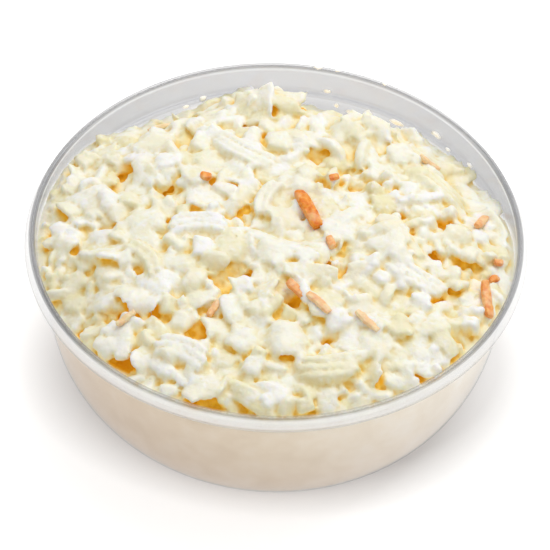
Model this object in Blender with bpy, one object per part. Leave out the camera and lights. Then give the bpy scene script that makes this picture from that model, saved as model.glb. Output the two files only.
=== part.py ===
"""A clear deli cup heaped with coleslaw: a thermoformed cup and the slaw that fills it.

Metres, +Z up. The origin is the centre of the cup's foot, on the surface that it stands on.
+Y is away from the front of the cup, where the slaw has slumped clear of the wall.
"""

import math

import bmesh
import bpy
import numpy as np
from mathutils import Vector
from mathutils.geometry import delaunay_2d_cdt

MM = 0.001

# The cup is one thin sheet, drawn down into a bowl and turned over at its lip.
LIP_HEIGHT = 44.0 * MM
SHEET = 0.45 * MM
HALF_SHEET = SHEET / 2

# Base: a raised centre panel inside a flat foot ring.
PANEL_RADIUS = 35.0 * MM
PANEL_RISE = 1.2 * MM
FOOT_INNER_RADIUS = 37.5 * MM
FOOT_OUTER_RADIUS = 41.0 * MM

# Wall: upright under the ledge, rounding in to the foot.
WALL_RADIUS = 54.0 * MM
WALL_START_RADIUS = 42.2 * MM
WALL_START_HEIGHT = 0.75 * MM
WALL_POWER = 3.3
WALL_ROUNDNESS = 0.9
WALL_STEPS = 9

# Ledge: the step that a stacked cup rests on. The collar above it leans out to the lip.
LEDGE_HEIGHT = 36.8 * MM
COLLAR_FOOT_RADIUS = 55.4 * MM
COLLAR_TOP_RADIUS = 56.3 * MM

# Lip: the sheet turned over in a bead, with a skirt that flares out from its far side.
BEAD_RADIUS = 0.52 * MM
BEAD_STEPS = 4
SKIRT_DEPTH = 3.0 * MM
SKIRT_RADIUS = 58.45 * MM

# Slaw: as wide as the wall allows, and domed a little over the lip. Where it is heaped high
# enough it lies out over the ledge as well, as far as the collar.
CLEARANCE = 0.35 * MM
SIDE_TOP = 29.0 * MM
BRIM_UNDERSIDE = LEDGE_HEIGHT + 0.6 * MM
BRIM_RADIUS = 54.9 * MM
BRIM_TOP_RADIUS = 55.2 * MM
BRIM_LEAST_LEVEL = BRIM_UNDERSIDE + 1.3 * MM
SIDE_UNDER_EDGE = 0.8 * MM
HEAP_EDGE_LEVEL = LIP_HEIGHT - 2.6 * MM
HEAP_CROWN_LEVEL = LIP_HEIGHT + 4.2 * MM
DOME_POWER = 3.0

# Where the heap has slumped from the wall: direction, half angle in degrees, depth.
SLUMPS = (
    (72.0, 26.0, 10.5 * MM),
    (122.0, 17.0, 6.5 * MM),
    (30.0, 14.0, 4.0 * MM),
    (208.0, 12.0, 3.5 * MM),
)
SLUMP_CREST_RADIUS = 37.0 * MM
SLUMP_FOOT_RADIUS = 49.0 * MM

# Clumps that stand proud of the dome: x, y, radius, height.
CLUMPS = (
    (-3.0 * MM, 42.0 * MM, 9.0 * MM, 5.0 * MM),
    (19.0 * MM, 34.0 * MM, 8.0 * MM, 2.6 * MM),
    (-24.0 * MM, 12.0 * MM, 12.0 * MM, 2.2 * MM),
    (28.0 * MM, -8.0 * MM, 11.0 * MM, 2.0 * MM),
)

# Chopped cabbage shows as lumps all over the heap, on points that lie in rows.
POINT_SPACING = 3.0 * MM
LUMP_SPACING = 8.0 * MM
LUMP_RADII = (5.0 * MM, 7.0 * MM)
LUMP_HEIGHTS = (1.0 * MM, 2.6 * MM)
LUMP_SEED = 4

SEGMENTS = 64
MERGE_DISTANCE = 0.01 * MM
SMOOTH_ANGLE = math.radians(35)


def arc(centre, radius, start, end, steps):
    """Points on an arc in the half plane (r, z), from start to end degrees."""
    angles = np.radians(np.linspace(start, end, steps + 1))
    return [(centre[0] + radius * math.cos(a), centre[1] + radius * math.sin(a)) for a in angles]


def wall_radius(share):
    """The wall's radius at a share of its depth, 0 under the ledge and 1 at the foot.

    It is the foot's radius plus the overhang times (1 - share^power)^roundness.
    """
    overhang = WALL_RADIUS - WALL_START_RADIUS
    return WALL_START_RADIUS + overhang * (1 - share**WALL_POWER) ** WALL_ROUNDNESS


def wall_path():
    """The wall's middle line from the foot up to just under the ledge."""
    top = LEDGE_HEIGHT - 0.6 * MM
    depth = top - WALL_START_HEIGHT
    # Steps crowd together low down, where the wall turns fastest.
    shares = np.sin(np.linspace(math.pi / 2, 0, WALL_STEPS + 1)) ** 0.8
    return [(wall_radius(s), top - depth * s) for s in shares]


def base_path():
    """The base's middle line from the axis out to the foot's rim."""
    panel = PANEL_RISE + HALF_SHEET
    return [
        (0.0, panel),
        (PANEL_RADIUS, panel),
        ((PANEL_RADIUS + FOOT_INNER_RADIUS) / 2, PANEL_RISE / 2 + HALF_SHEET),
        (FOOT_INNER_RADIUS, HALF_SHEET),
        (FOOT_OUTER_RADIUS, HALF_SHEET),
    ]


def rim_path():
    """The ledge, the collar, the bead over the lip and the flared skirt."""
    bead_height = LIP_HEIGHT - HALF_SHEET - BEAD_RADIUS
    bead_centre = (COLLAR_TOP_RADIUS + BEAD_RADIUS, bead_height)
    skirt_top = COLLAR_TOP_RADIUS + 2 * BEAD_RADIUS
    skirt_end = LIP_HEIGHT - SKIRT_DEPTH
    return [
        (WALL_RADIUS + 0.1 * MM, LEDGE_HEIGHT - 0.1 * MM),
        (COLLAR_FOOT_RADIUS - 0.2 * MM, LEDGE_HEIGHT + 0.1 * MM),
        (COLLAR_FOOT_RADIUS + 0.1 * MM, LEDGE_HEIGHT + 0.6 * MM),
        *arc(bead_centre, BEAD_RADIUS, 180, 0, BEAD_STEPS),
        (skirt_top + 0.3 * (SKIRT_RADIUS - skirt_top), skirt_end + 0.45 * SKIRT_DEPTH),
        (SKIRT_RADIUS, skirt_end),
    ]


def offset_path(path, distance):
    """The path moved sideways by a distance, to the left of its direction, with mitred corners."""
    points = np.array(path)
    steps = np.diff(points, axis=0)
    steps /= np.linalg.norm(steps, axis=1)[:, None]
    normals = np.stack([-steps[:, 1], steps[:, 0]], axis=1)
    before = np.vstack([normals[:1], normals])
    after = np.vstack([normals, normals[-1:]])
    mitres = (before + after) / (1 + np.sum(before * after, axis=1))[:, None]
    moved = points + distance * mitres
    moved[points[:, 0] == 0, 0] = 0.0
    return [tuple(p) for p in moved]


def turned(outline):
    """An outline (r, z) turned round Z, which closes where the outline meets the axis."""
    bm = bmesh.new()
    verts = [bm.verts.new((r, 0.0, z)) for r, z in outline]
    edges = [bm.edges.new(pair) for pair in zip(verts, verts[1:])]
    bmesh.ops.spin(
        bm,
        geom=verts + edges,
        cent=(0, 0, 0),
        axis=(0, 0, 1),
        angle=2 * math.pi,
        steps=SEGMENTS,
        use_merge=True,
    )
    bmesh.ops.remove_doubles(bm, verts=bm.verts, dist=MERGE_DISTANCE)
    return bm


def rim_by_angle(bm):
    """The vertices on an open rim, in order of their angle round Z from +X."""
    rim = {vert for edge in bm.edges if edge.is_boundary for vert in edge.verts}
    half_step = math.pi / SEGMENTS
    return sorted(rim, key=lambda vert: (math.atan2(vert.co.y, vert.co.x) + half_step) % math.tau)


def bridge(bm, below, above):
    """Joins two rings of as many vertices with a band of quads."""
    for index, vert in enumerate(below):
        following = (index + 1) % len(below)
        bm.faces.new((vert, below[following], above[following], above[index]))


def staggered_points(reach):
    """Points (x, y) in rows, each row half a step along from the last, out to a radius."""
    row_gap = POINT_SPACING * math.sqrt(3) / 2
    rows = np.arange(-reach, reach, row_gap)
    columns = np.arange(-reach, reach, POINT_SPACING)
    x, y = np.meshgrid(columns, rows)
    x[1::2] += POINT_SPACING / 2
    inside = np.hypot(x, y) < reach
    return np.stack([x[inside], y[inside]], axis=1)


def close_top(bm, reach):
    """Spans an open rim with triangles over rows of points, and returns the new points."""
    rim = [edge for edge in bm.edges if edge.is_boundary]
    bm.verts.index_update()
    verts = sorted({vert for edge in rim for vert in edge.verts}, key=lambda vert: vert.index)
    number = {vert: index for index, vert in enumerate(verts)}
    borders = [(number[edge.verts[0]], number[edge.verts[1]]) for edge in rim]
    height = verts[0].co.z
    inner = [bm.verts.new((x, y, height)) for x, y in staggered_points(reach)]
    verts += inner
    flat = [Vector(vert.co.xy) for vert in verts]
    keep_inside = 1
    result = delaunay_2d_cdt(flat, borders, [], keep_inside, MERGE_DISTANCE)
    for corners in result[2]:
        bm.faces.new([verts[index] for index in corners])
    return inner


def smooth_step(value):
    """0 below 0, 1 above 1, and an S curve between."""
    t = np.clip(value, 0.0, 1.0)
    return t * t * (3 - 2 * t)


def slump_depth(x, y):
    """How far the heap has sunk at (x, y): each slump is a bell in direction and a ramp in radius."""
    radius = np.hypot(x, y)
    direction = np.degrees(np.arctan2(y, x))
    ramp = smooth_step((radius - SLUMP_CREST_RADIUS) / (SLUMP_FOOT_RADIUS - SLUMP_CREST_RADIUS))
    depth = np.zeros_like(radius)
    for angle, half_angle, deepest in SLUMPS:
        away = (direction - angle + 180) % 360 - 180
        depth += deepest * np.exp(-((away / half_angle) ** 2)) * ramp
    return depth


def make_lumps():
    """Lump centres on a jittered square grid, with a radius and a height for each."""
    rng = np.random.default_rng(LUMP_SEED)
    reach = WALL_RADIUS
    ticks = np.arange(-reach, reach + LUMP_SPACING, LUMP_SPACING)
    x, y = (grid.ravel() for grid in np.meshgrid(ticks, ticks))
    x = x + rng.uniform(-0.4, 0.4, x.size) * LUMP_SPACING
    y = y + rng.uniform(-0.4, 0.4, y.size) * LUMP_SPACING
    radii = rng.uniform(*LUMP_RADII, x.size)
    heights = rng.uniform(*LUMP_HEIGHTS, x.size)
    return x, y, radii, heights


def lump_height(x, y, lumps):
    """The highest lump over (x, y), each one a flattened ball: height times sqrt(1 - d^2 / r^2)."""
    centre_x, centre_y, radii, heights = lumps
    squared = (x[:, None] - centre_x) ** 2 + (y[:, None] - centre_y) ** 2
    caps = heights * np.sqrt(np.clip(1 - squared / radii**2, 0, 1))
    return caps.max(axis=1)


def heap_level(x, y, lumps):
    """The slaw's height at (x, y): a dome, less the slumps, plus the clumps and the lumps."""
    radius = np.hypot(x, y)
    rise = HEAP_CROWN_LEVEL - HEAP_EDGE_LEVEL
    level = HEAP_EDGE_LEVEL + rise * (1 - (radius / BRIM_TOP_RADIUS) ** DOME_POWER)
    sunk = slump_depth(x, y)
    level -= sunk
    for clump_x, clump_y, reach, height in CLUMPS:
        squared = (x - clump_x) ** 2 + (y - clump_y) ** 2
        level += height * np.exp(-squared / (reach * 0.6) ** 2)
    calm = 1 - 0.6 * np.clip(sunk / (8 * MM), 0, 1)
    return level + calm * (lump_height(x, y, lumps) - np.mean(LUMP_HEIGHTS) / 2)


def material(name, colour, roughness, alpha=1.0):
    """A Principled material. Colour is linear RGB."""
    made = bpy.data.materials.new(name)
    made.use_nodes = True
    shader = made.node_tree.nodes["Principled BSDF"]
    shader.inputs["Base Color"].default_value = (*colour, 1.0)
    shader.inputs["Roughness"].default_value = roughness
    shader.inputs["Metallic"].default_value = 0.0
    shader.inputs["Alpha"].default_value = alpha
    return made


def finish(bm, name, look):
    """Writes a bmesh to a named object, smooth but for its creases, with one material."""
    bmesh.ops.recalc_face_normals(bm, faces=bm.faces)
    mesh = bpy.data.meshes.new(name)
    bm.to_mesh(mesh)
    bm.free()
    mesh.shade_smooth()
    mesh.set_sharp_from_angle(angle=SMOOTH_ANGLE)
    mesh.materials.append(look)
    made = bpy.data.objects.new(name, mesh)
    bpy.context.scene.collection.objects.link(made)
    return made


def make_cup():
    """The sheet's middle line, thickened to both sides and turned."""
    path = base_path() + wall_path() + rim_path()
    inside = offset_path(path, HALF_SHEET)
    outside = offset_path(path, -HALF_SHEET)
    plastic = material("clear_plastic", (0.80, 0.81, 0.82), 0.08, alpha=0.3)
    return finish(turned(inside + outside[::-1]), "cup", plastic)


def heap_edge(side_radius, lumps):
    """Three rings of points up the heap's edge: its side's top, the brim's underside, its top.

    Where the heap is low the brim draws back to the side, so the lower two rings meet.
    """
    angles = np.linspace(0, 2 * math.pi, SEGMENTS, endpoint=False)
    outward = np.stack([np.cos(angles), np.sin(angles)], axis=1)
    level = heap_level(*(BRIM_TOP_RADIUS * outward.T), lumps)
    lowest = np.minimum(level, np.minimum(np.roll(level, 1), np.roll(level, -1)))
    brimming = lowest > BRIM_LEAST_LEVEL
    side_level = np.minimum(BRIM_UNDERSIDE - 0.2 * MM, level - SIDE_UNDER_EDGE)
    under_level = np.where(brimming, BRIM_UNDERSIDE, side_level)
    under_radius = np.where(brimming, BRIM_RADIUS, side_radius)
    top_radius = np.where(brimming, BRIM_TOP_RADIUS, side_radius)
    rings = (
        (np.full(SEGMENTS, side_radius), side_level),
        (under_radius, under_level),
        (top_radius, level),
    )
    return [np.column_stack([outward * radius[:, None], z]) for radius, z in rings]


def make_slaw():
    """The slaw's solid: the cup's inside with a little clearance, under an uneven heaped top."""
    inner = offset_path(base_path() + wall_path(), HALF_SHEET + CLEARANCE)
    side_radius = WALL_RADIUS - HALF_SHEET - CLEARANCE
    bm = turned([point for point in inner if point[1] < SIDE_TOP])
    lumps = make_lumps()
    below = rim_by_angle(bm)
    for ring in heap_edge(side_radius, lumps):
        above = [bm.verts.new(point) for point in ring]
        bridge(bm, below, above)
        below = above
    top = close_top(bm, side_radius - POINT_SPACING / 2)
    places = np.array([vert.co.xy for vert in top])
    for vert, level in zip(top, heap_level(places[:, 0], places[:, 1], lumps)):
        vert.co.z = level
    bmesh.ops.remove_doubles(bm, verts=bm.verts, dist=MERGE_DISTANCE)
    dressed = material("dressed_cabbage", (0.84, 0.79, 0.60), 0.45)
    return finish(bm, "coleslaw", dressed)


for old in list(bpy.data.objects):
    bpy.data.objects.remove(old)

make_cup()
make_slaw()
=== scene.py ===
# %% [markdown]
# # A deli cup of coleslaw
#
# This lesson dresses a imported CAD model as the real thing. The model has two solids: a clear cup,
# and one solid that stands for the whole heap of slaw. Around them we build a finely turned cup in
# clear sheet, a core of pressed slaw, and the chopped pieces themselves: leaf, rib, strips and
# crumbs of cabbage, carrot shreds, and drops of dressing.
#
# Everything is in metres. +Z is up, -Y is the front, and the cup stands on Z = 0.

import math

import bpy
import numpy as np
from mathutils import Matrix, Vector


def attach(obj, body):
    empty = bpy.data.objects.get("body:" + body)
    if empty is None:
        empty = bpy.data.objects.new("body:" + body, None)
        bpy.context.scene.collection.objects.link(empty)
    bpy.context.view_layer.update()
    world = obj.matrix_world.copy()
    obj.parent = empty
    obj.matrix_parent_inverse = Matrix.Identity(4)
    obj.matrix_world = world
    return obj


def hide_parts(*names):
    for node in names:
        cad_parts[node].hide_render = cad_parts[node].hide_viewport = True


MM = 0.001

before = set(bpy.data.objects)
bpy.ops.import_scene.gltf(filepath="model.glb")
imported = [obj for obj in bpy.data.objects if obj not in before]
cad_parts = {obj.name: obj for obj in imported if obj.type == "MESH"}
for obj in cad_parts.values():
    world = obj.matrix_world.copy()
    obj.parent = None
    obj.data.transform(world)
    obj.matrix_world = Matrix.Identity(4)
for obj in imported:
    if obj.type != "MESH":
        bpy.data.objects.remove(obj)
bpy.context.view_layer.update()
scene = bpy.context.scene

# %% [markdown]
# ## Camera
#
# The cup is seen from the front and well above, with a long lens, so that its rim is an ellipse
# with almost no taper. The camera looks a little under the lip's middle, and leans two degrees.

# %% Camera
LIP_HEIGHT = 44.0 * MM
CAMERA_ELEVATION = math.radians(46.04)
CAMERA_DISTANCE = 600.0 * MM
CAMERA_LEAN = math.radians(2.0)
AIM_HEIGHT = 28.3 * MM
LENS = 168.85

camera = bpy.data.objects.new("camera", bpy.data.cameras.new("camera"))
scene.collection.objects.link(camera)
camera.data.lens = LENS
camera.data.sensor_width = 36.0
camera.data.clip_start = 10 * MM
lip_centre = Vector((0.0, 0.0, LIP_HEIGHT))
away = Vector((0.0, -math.cos(CAMERA_ELEVATION), math.sin(CAMERA_ELEVATION)))
camera.location = lip_centre + CAMERA_DISTANCE * away
line_of_sight = Vector((0.0, 0.0, AIM_HEIGHT)) - camera.location
facing = line_of_sight.to_track_quat("-Z", "Y").to_matrix()
camera.rotation_euler = (facing @ Matrix.Rotation(CAMERA_LEAN, 3, "Z")).to_euler()
scene.camera = camera
print("camera at", tuple(round(value, 4) for value in camera.location))

# %% [markdown]
# ## Colours and nodes
#
# A shader works in linear light, but a colour is easier to name as an sRGB hex value, so one
# function turns the one into the other. A second one adds a node with its settings and links,
# which keeps each material readable as a list.


# %% Colour and node helpers
def linear(colour):
    """An sRGB hex colour as linear RGBA: ((c + 0.055) / 1.055)^2.4, or c / 12.92 when dark."""
    share = np.array([int(colour[i : i + 2], 16) for i in (1, 3, 5)]) / 255
    light = np.where(share <= 0.04045, share / 12.92, ((share + 0.055) / 1.055) ** 2.4)
    return (*light.tolist(), 1.0)


def add(tree, kind, settings=None, links=None):
    """Adds a node, sets its properties or sockets by name, and links its inputs to outputs."""
    node = tree.nodes.new(kind)
    for name, value in (settings or {}).items():
        if isinstance(name, str) and hasattr(node, name):
            setattr(node, name, value)
        else:
            node.inputs[name].default_value = value
    for name, output in (links or {}).items():
        tree.links.new(output, node.inputs[name])
    return node


def new_material(name):
    """An empty node material, and its tree."""
    made = bpy.data.materials.new(name)
    made.use_nodes = True
    made.node_tree.nodes.clear()
    return made, made.node_tree


def colour_ramp(tree, factor, stops):
    """A colour ramp over stops of (place, hex colour), read at a factor."""
    node = add(tree, "ShaderNodeValToRGB", links={"Fac": factor})
    band = node.color_ramp
    while len(band.elements) < len(stops):
        band.elements.new(1.0)
    for element, (place, colour) in zip(band.elements, stops):
        element.position = place
        element.color = linear(colour)
    return node


print("cream is", tuple(round(value, 3) for value in linear("#F4EED6")))

# %% [markdown]
# ## One surface for everything
#
# Every piece here has the shape of a ball, as far as its net of faces goes: one pole, rings of
# points, and another pole. A chopped leaf is a flat one, a strip is a long one, and the cup is one
# whose rings go up the inside and come down the outside. So one function lists the faces, and each
# piece only has to say where its points are.


# %% Closed surfaces from rings of points
def closed_faces(rings, around):
    """Faces of a closed surface: a fan round pole 0, bands between rings, a fan round the last pole.

    Point 0 is the first pole, point 1 + ring * around + step is on a ring.
    Seen from the first pole the rings run anticlockwise, so every face looks outwards.
    """
    ring = 1 + np.arange(rings * around).reshape(rings, around)
    beside = np.roll(ring, -1, axis=1)
    bands = np.stack([ring[:-1], ring[1:], beside[1:], beside[:-1]], axis=-1).reshape(-1, 4)
    first = np.stack([np.zeros(around, int), ring[0], beside[0]], axis=-1)
    last = np.stack([np.full(around, rings * around + 1), beside[-1], ring[-1]], axis=-1)
    return np.vstack([first, last]), bands


def closed_points(rings):
    """Points of closed pieces (pieces, rings, around, 3), with a pole at each end ring's mean."""
    pieces, _, _, _ = rings.shape
    poles = rings[:, [0, -1]].mean(axis=2)
    middle = rings.reshape(pieces, -1, 3)
    return np.concatenate([poles[:, :1], middle, poles[:, 1:]], axis=1)


def make_piece(name, points, faces, material, values):
    """One object of many closed pieces: points (pieces, points, 3), and named values for each point."""
    pieces, each, _ = points.shape
    start = np.arange(pieces)[:, None, None] * each
    corners = [(block[None] + start).reshape(-1, block.shape[1]).tolist() for block in faces]
    mesh = bpy.data.meshes.new(name)
    mesh.from_pydata(points.reshape(-1, 3), [], corners[0] + corners[1])
    for label, value in values.items():
        spread = np.broadcast_to(value, (pieces, each)).astype(np.float32).ravel()
        mesh.attributes.new(label, "FLOAT", "POINT").data.foreach_set("value", spread)
    mesh.shade_smooth()
    mesh.materials.append(material)
    made = bpy.data.objects.new(name, mesh)
    scene.collection.objects.link(made)
    triangles = sum(len(polygon.vertices) - 2 for polygon in mesh.polygons)
    print(f"{name}: {pieces} pieces, {triangles} triangles")
    return made


# %% [markdown]
# ## The cup's section
#
# The real cup is one sheet of clear PET, under half a millimetre thick, heated and drawn down into
# a mould. Its section tells how it works: a raised panel lets it stand on a ring, the wall rounds
# up to a ledge that the next cup in a stack rests on, and the lip is turned over into a bead with
# a skirt, which makes it stiff and gives a lid something to snap over.
#
# The sizes repeat those of the CAD solid, but with every corner rounded as a drawn sheet's is.

# %% Sizes of the cup
SHEET = 0.45 * MM
PANEL_RADIUS = 35.0 * MM
PANEL_RISE = 1.2 * MM
FOOT_INNER_RADIUS = 37.5 * MM
FOOT_OUTER_RADIUS = 41.0 * MM
WALL_RADIUS = 54.0 * MM
WALL_START_RADIUS = 42.2 * MM
WALL_START_HEIGHT = 0.75 * MM
WALL_POWER = 3.3
WALL_ROUNDNESS = 0.9
LEDGE_HEIGHT = 36.8 * MM
COLLAR_FOOT_RADIUS = 55.4 * MM
COLLAR_TOP_RADIUS = 56.3 * MM
BEAD_RADIUS = 0.52 * MM
SKIRT_DEPTH = 3.0 * MM
SKIRT_RADIUS = 58.45 * MM


# %% Section lines
def rounded(corners, reach, steps=5):
    """A line (r, z) with its corners rounded: each is a parabola that starts at a reach from it.

    Between a start A, the corner B and an end C it is (1-t)^2 A + 2t(1-t) B + t^2 C.
    """
    corners = np.array(corners)
    legs = np.linalg.norm(np.diff(corners, axis=0), axis=1)
    t = np.linspace(0, 1, steps)[:, None]
    line = [corners[:1]]
    for before, corner, after, leg_in, leg_out in zip(corners, corners[1:], corners[2:], legs, legs[1:]):
        start = corner + (before - corner) * min(reach / leg_in, 0.5)
        end = corner + (after - corner) * min(reach / leg_out, 0.5)
        line.append((1 - t) ** 2 * start + 2 * t * (1 - t) * corner + t**2 * end)
    line.append(corners[-1:])
    return np.vstack(line)


def denser(line, spacing):
    """The line with equally spaced points put into every leg that is longer than a spacing."""
    parts = []
    for start, end in zip(line, line[1:]):
        steps = max(1, math.ceil(np.linalg.norm(end - start) / spacing))
        parts.append(start + np.linspace(0, 1, steps, endpoint=False)[:, None] * (end - start))
    return np.vstack([*parts, line[-1:]])


def wall_line(steps=44):
    """The wall's middle line: r = foot + overhang * (1 - share^power)^roundness, share from 1 to 0."""
    share = np.sin(np.linspace(math.pi / 2, 0, steps)) ** 0.8
    top = LEDGE_HEIGHT - 0.6 * MM
    overhang = WALL_RADIUS - WALL_START_RADIUS
    r = WALL_START_RADIUS + overhang * (1 - share**WALL_POWER) ** WALL_ROUNDNESS
    return np.stack([r, top - (top - WALL_START_HEIGHT) * share], axis=1)


def cup_line():
    """The sheet's whole middle line, from the axis out over the base, up, and down the skirt."""
    half = SHEET / 2
    base = [
        (0.0, PANEL_RISE + half),
        (PANEL_RADIUS, PANEL_RISE + half),
        (FOOT_INNER_RADIUS, half),
        (FOOT_OUTER_RADIUS, half),
        (WALL_START_RADIUS, WALL_START_HEIGHT),
    ]
    ledge = [
        (WALL_RADIUS, LEDGE_HEIGHT - 0.6 * MM),
        (WALL_RADIUS + 0.1 * MM, LEDGE_HEIGHT - 0.05 * MM),
        (COLLAR_FOOT_RADIUS - 0.1 * MM, LEDGE_HEIGHT + 0.1 * MM),
        (COLLAR_FOOT_RADIUS + 0.1 * MM, LEDGE_HEIGHT + 0.8 * MM),
    ]
    turn = np.linspace(math.pi, 0, 15)
    bead_height = LIP_HEIGHT - half - BEAD_RADIUS
    bead = np.stack(
        [COLLAR_TOP_RADIUS + BEAD_RADIUS * (1 + np.cos(turn)), bead_height + BEAD_RADIUS * np.sin(turn)],
        axis=1,
    )
    skirt_top = COLLAR_TOP_RADIUS + 2 * BEAD_RADIUS
    skirt = [
        (skirt_top, bead_height - 0.1 * MM),
        (skirt_top + 0.34 * MM, LIP_HEIGHT - 0.55 * SKIRT_DEPTH),
        (SKIRT_RADIUS, LIP_HEIGHT - SKIRT_DEPTH),
    ]
    upper = np.vstack([rounded(ledge, 0.4 * MM)[1:], bead, rounded(skirt, 0.5 * MM)])
    return np.vstack([rounded(base, 0.9 * MM)[:-1], wall_line(), denser(upper, 0.3 * MM)])


def beside_line(line, distance):
    """The line moved to its left: each point goes along the mean normal of its two legs."""
    steps = np.diff(line, axis=0)
    steps /= np.linalg.norm(steps, axis=1)[:, None]
    normals = np.stack([-steps[:, 1], steps[:, 0]], axis=1)
    before = np.vstack([normals[:1], normals])
    after = np.vstack([normals, normals[-1:]])
    mitre = (before + after) / (1 + np.sum(before * after, axis=1))[:, None]
    moved = line + distance * mitre
    moved[0, 0] = 0.0
    return moved


middle_line = cup_line()
inner_line = beside_line(middle_line, SHEET / 2)
outer_line = beside_line(middle_line, -SHEET / 2)
print(f"section: {len(middle_line)} points, {1000 * middle_line[:, 1].max():.2f} mm high")


# %% Turn the section
def turned(outline, around):
    """Rings of points for an outline (r, z) turned round Z: (r cos a, r sin a, z)."""
    angle = np.linspace(0, 2 * math.pi, around, endpoint=False)
    r, z = outline[:, 0, None], outline[:, 1, None]
    return np.stack([r * np.cos(angle), r * np.sin(angle), z + 0 * angle], axis=-1)


def inside_radius(height):
    """The cup's inner radius at a height, read off the inner line up to the bead."""
    climb = inner_line[: np.argmax(inner_line[:, 1])]
    climb = climb[climb[:, 0] > FOOT_OUTER_RADIUS]
    return np.interp(height, climb[:, 1], climb[:, 0])


def along_section(value):
    """A value for each point of the middle line, spread over both sides of the turned sheet."""
    sides = np.concatenate([value[1:], value[:0:-1]])
    return np.concatenate([value[:1], np.repeat(sides, CUP_STEPS), value[:1]])


CUP_STEPS = 240
cup_rings = turned(np.vstack([inner_line[1:], outer_line[:0:-1]]), CUP_STEPS)[None]
print(f"inner radius under the lip: {1000 * inside_radius(LIP_HEIGHT - 2 * MM):.2f} mm")

# %% [markdown]
# ## Clear thermoformed PET
#
# PET sheet is glass clear with a high gloss. Seen square on it is almost not there. Seen along
# its surface the path through it is long, so its edges and its wall look grey, and the gloss is
# strongest there too. A thin sheet hardly bends what is behind it, so a transparent shader with a
# tint that deepens at a glancing angle stands for it. A gloss is mixed in by Schlick's form of
# Fresnel's law, m + (1 - m)(1 - cos)^5, because it is the same from inside the sheet as from
# outside. Drawing leaves the sheet slightly hazy and wavy, which a little white scatter and a very
# soft bump give. Where wet slaw lies against it the sheet is clearer, as there is no second gloss.

# %% Cup material
PET_INDEX = 1.57
PET_MIRROR = ((PET_INDEX - 1) / (PET_INDEX + 1)) ** 2

pet, tree = new_material("clear_pet_thermoformed")
place = add(tree, "ShaderNodeTexCoord")
waves = add(
    tree,
    "ShaderNodeTexNoise",
    {"Scale": 1 / (9 * MM), "Detail": 1.0},
    {"Vector": place.outputs["Object"]},
)
wavy = add(
    tree,
    "ShaderNodeBump",
    {"Strength": 0.25, "Distance": 0.25 * MM},
    {"Height": waves.outputs["Fac"]},
)
glance = add(tree, "ShaderNodeLayerWeight", {"Blend": 0.5}, {"Normal": wavy.outputs["Normal"]})
dry = add(tree, "ShaderNodeAttribute", {"attribute_name": "dry"})
bare_tint = colour_ramp(
    tree, glance.outputs["Facing"], [(0.0, "#E4E4E5"), (0.35, "#DADADB"), (1.0, "#D5D6D8")]
)
tint = add(
    tree,
    "ShaderNodeMix",
    {"data_type": "RGBA", 6: linear("#FCFCFC")},
    {0: dry.outputs["Fac"], 7: bare_tint.outputs["Color"]},
)
# Painted shade: this value tints the clear sheet darker on the bead and along its edge lines.
bead = add(tree, "ShaderNodeAttribute", {"attribute_name": "bead"})
painted_shade_tint = add(
    tree,
    "ShaderNodeMix",
    {"data_type": "RGBA", "blend_type": "MULTIPLY", 7: linear("#77787C")},
    {0: bead.outputs["Fac"], 6: tint.outputs[2]},
)
clear = add(tree, "ShaderNodeBsdfTransparent", links={"Color": painted_shade_tint.outputs[2]})
front_haze = add(tree, "ShaderNodeBsdfDiffuse", {"Color": linear("#FFFFFF")})
back_haze = add(tree, "ShaderNodeBsdfTranslucent", {"Color": linear("#FFFFFF")})
haze = add(
    tree,
    "ShaderNodeMixShader",
    {0: 0.5},
    {1: front_haze.outputs["BSDF"], 2: back_haze.outputs["BSDF"]},
)
cloudy = add(tree, "ShaderNodeAttribute", {"attribute_name": "haze"})
haziness = add(tree, "ShaderNodeMath", {"operation": "ADD", 1: 0.05}, {0: cloudy.outputs["Fac"]})
hazy = add(
    tree,
    "ShaderNodeMixShader",
    links={0: haziness.outputs["Value"], 1: clear.outputs["BSDF"], 2: haze.outputs["Shader"]},
)
gloss = add(tree, "ShaderNodeBsdfGlossy", {"Roughness": 0.06}, {"Normal": wavy.outputs["Normal"]})
grazing = add(tree, "ShaderNodeMath", {"operation": "POWER", 1: 5.0}, {0: glance.outputs["Facing"]})
mirror = add(
    tree,
    "ShaderNodeMath",
    {"operation": "MULTIPLY_ADD", 1: 1 - PET_MIRROR, 2: PET_MIRROR},
    {0: grazing.outputs["Value"]},
)
# Painted highlight: a white glow is mixed in along lines under the bead, at the ledge and on the front of
# the skirt.
painted_highlight = add(tree, "ShaderNodeAttribute", {"attribute_name": "painted_highlight"})
painted_highlight_glow = add(tree, "ShaderNodeEmission", {"Color": linear("#FFFFFF"), "Strength": 0.95})
with_painted_highlight = add(
    tree,
    "ShaderNodeMixShader",
    links={0: painted_highlight.outputs["Fac"], 1: hazy.outputs["Shader"], 2: painted_highlight_glow.outputs["Emission"]},
)
sheet = add(
    tree,
    "ShaderNodeMixShader",
    links={0: mirror.outputs["Value"], 1: with_painted_highlight.outputs["Shader"], 2: gloss.outputs["BSDF"]},
)
add(tree, "ShaderNodeOutputMaterial", links={"Surface": sheet.outputs["Shader"]})


# %% [markdown]
# ## The heap's form
#
# Slaw is spooned in until it domes over the lip, and it slumps away from the wall where less was
# pushed to the side. So its height is a dome, less a few slumps at the back, plus clumps that stand
# proud and the low lumps of each spoonful. The chopped pieces follow this level, and the packed
# core lies a few millimetres under it.

# %% Sizes of the heap
EDGE_LEVEL = LIP_HEIGHT - 2.6 * MM
CROWN_LEVEL = LIP_HEIGHT + 4.2 * MM
DOME_POWER = 3.0
DOME_RADIUS = 55.2 * MM

# Direction in degrees, half angle in degrees, depth.
SLUMPS = ((72.0, 26.0, 10.5 * MM), (122.0, 17.0, 6.5 * MM), (25.0, 16.0, 5.0 * MM), (208.0, 12.0, 3.5 * MM))
SLUMP_CREST_RADIUS = 37.0 * MM
SLUMP_FOOT_RADIUS = 49.0 * MM

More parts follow.
